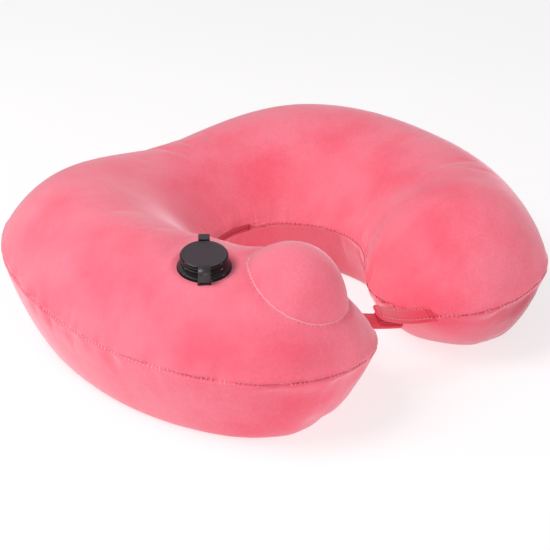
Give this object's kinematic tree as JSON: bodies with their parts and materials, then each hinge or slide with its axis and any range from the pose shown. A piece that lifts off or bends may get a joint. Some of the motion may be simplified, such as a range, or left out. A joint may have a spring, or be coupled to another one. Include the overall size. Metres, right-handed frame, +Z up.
{
  "type": "u shaped neck pillow",
  "caption": "U shaped inflatable travel neck pillow in a zipped velour cover, with a press pump dome, a capped air valve and closing straps.",
  "frame": {"origin": "centre of the box that the pillow fills, on the surface that it lies on", "axes": "+Z up, +Y towards the closed back of the U, -Y towards its open end, pump and valve on the arm at -X"},
  "size_m": [0.3454, 0.3072, 0.1108],
  "materials": {
    "velour": "short pile velour with a soft sheen",
    "tpu_film": "satin translucent film",
    "black_tpu": "satin black, glossy on its edges",
    "foam": "open cell foam",
    "silicone": "soft translucent",
    "zip_tape": "woven polyester",
    "zip_coil": "nylon coil",
    "zip_metal": "plated zinc"
  },
  "bodies": {
    "root": {"cover_top": "velour", "cover_bottom": "velour", "bladder_upper_film": "tpu_film", "bladder_lower_film": "tpu_film", "pump_well": "tpu_film", "pump_outlet_valve": "black_tpu", "pump_outlet_flap": "silicone", "pump_foam": "foam", "valve_flange": "black_tpu", "valve_weld_ring": "tpu_film", "zip_tape_upper": "zip_tape", "zip_tape_lower": "zip_tape", "zip_teeth_upper": "zip_coil", "zip_teeth_lower": "zip_coil", "zip_top_stop": "zip_metal", "zip_bottom_stop": "zip_metal", "zip_end_tab": "velour"},
    "pump_button": {"pump_cover": "velour", "pump_bulb": "tpu_film", "pump_intake_valve": "black_tpu", "pump_intake_flap": "silicone"},
    "valve_plug": {"valve_plug": "black_tpu", "valve_membrane": "silicone"},
    "valve_cap": {"valve_cap": "black_tpu"},
    "strap_a": {"strap_a": "velour", "loop_patch": "zip_tape"},
    "strap_b": {"strap_b": "velour", "hook_patch": "zip_tape"},
    "zip_slider": {"zip_slider": "zip_metal"},
    "zip_puller": {"zip_puller": "zip_metal"}
  },
  "joints": [
    {"name": "pump_press", "type": "slide", "parent": "root", "child": "pump_button", "axis": [-0.2281, 0.4783, -0.848], "range_m": [0, 0.014], "stiffness_N_per_m": 500, "springref_m": -0.002, "deforming": ["pump_foam"]},
    {"name": "valve_plug_hinge", "type": "hinge", "parent": "root", "child": "valve_plug", "pos_m": [-0.12509, -0.08395, 0.09651], "axis": [0.788, -0.6157, 0], "range_deg": [0, 75]},
    {"name": "valve_cap_hinge", "type": "hinge", "parent": "valve_plug", "child": "valve_cap", "pos_m": [-0.1254, -0.08435, 0.09967], "axis": [0.788, -0.6157, 0], "range_deg": [0, 70]},
    {"name": "strap_a_swing", "type": "hinge", "parent": "root", "child": "strap_a", "pos_m": [-0.02342, -0.11312, 0.04656], "axis": [0.3133, 0.9007, 0.3011], "range_deg": [0, 30]},
    {"name": "strap_b_swing", "type": "hinge", "parent": "root", "child": "strap_b", "pos_m": [0.02377, -0.12731, 0.03988], "axis": [0.3133, 0.9007, 0.3011], "range_deg": [0, 50]},
    {"name": "zip_slide", "type": "hinge", "parent": "root", "child": "zip_slider", "pos_m": [0, -0.0134, 0.0445], "axis": [0, 0, -1], "range_deg": [0, 91]},
    {"name": "zip_puller_swing", "type": "hinge", "parent": "zip_slider", "child": "zip_puller", "pos_m": [-0.04697, -0.01176, 0.0445], "axis": [-0.0349, -0.9994, 0], "range_deg": [0, 150]}
  ]
}
